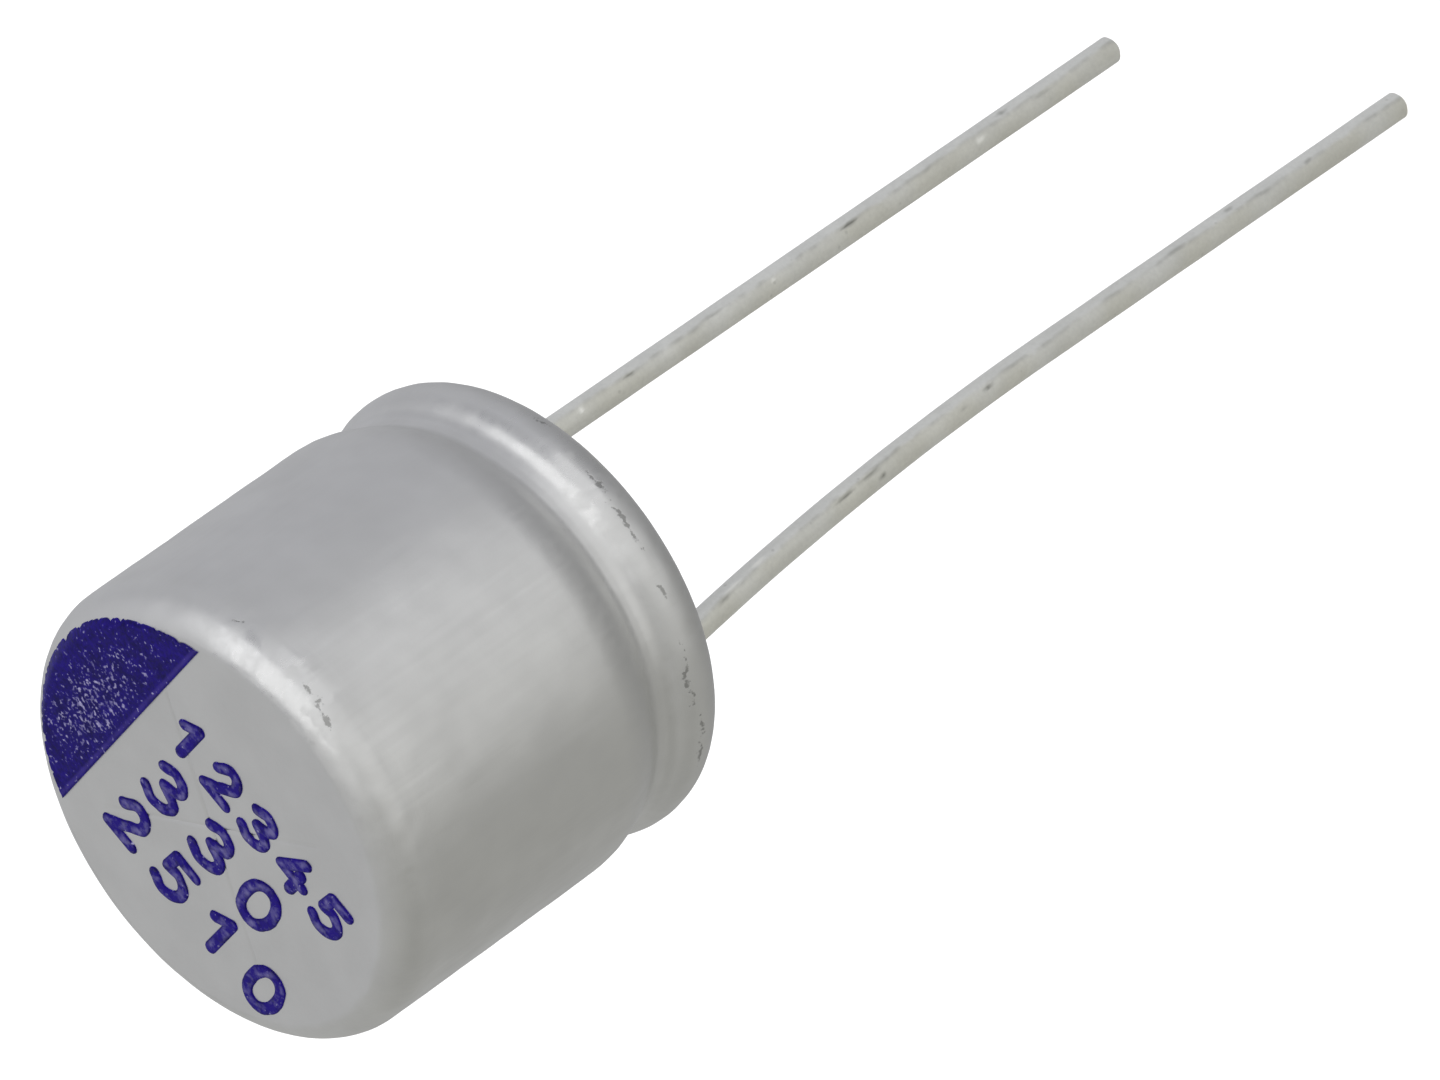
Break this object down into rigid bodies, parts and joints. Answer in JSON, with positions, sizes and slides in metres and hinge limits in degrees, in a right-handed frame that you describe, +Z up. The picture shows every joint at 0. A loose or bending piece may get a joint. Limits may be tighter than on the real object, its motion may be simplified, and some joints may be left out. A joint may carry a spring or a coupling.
{
  "type": "hybrid capacitor",
  "caption": "Radial-lead hybrid capacitor: a drawn aluminium can with a vent-scored, polarity-marked end, grooved and curled over a rubber bung, with tinned wire leads for a circuit board.",
  "frame": {"origin": "centre of the rim's seat, midway between the leads, where the part meets a circuit board", "axes": "+Z up from the board along the can to its closed end, +X from the shorter lead to the longer one"},
  "size_m": [0.01, 0.01, 0.0334],
  "materials": {
    "can_aluminium": "satin drawn aluminium",
    "bung_rubber": "matt black rubber",
    "lead_tin": "dull tinned wire",
    "tab_aluminium": "bare aluminium",
    "foil_roll": "matt edge of a wound roll",
    "amber_tape": "amber film tape",
    "violet_ink": "glossy printed ink"
  },
  "bodies": {
    "root": {"can": "can_aluminium", "rubber_bung": "bung_rubber", "cathode_lead": "lead_tin", "anode_lead": "lead_tin", "cathode_tab": "tab_aluminium", "anode_tab": "tab_aluminium", "wound_element": "foil_roll", "winding_tape": "amber_tape", "polarity_mark": "violet_ink"}
  },
  "joints": []
}
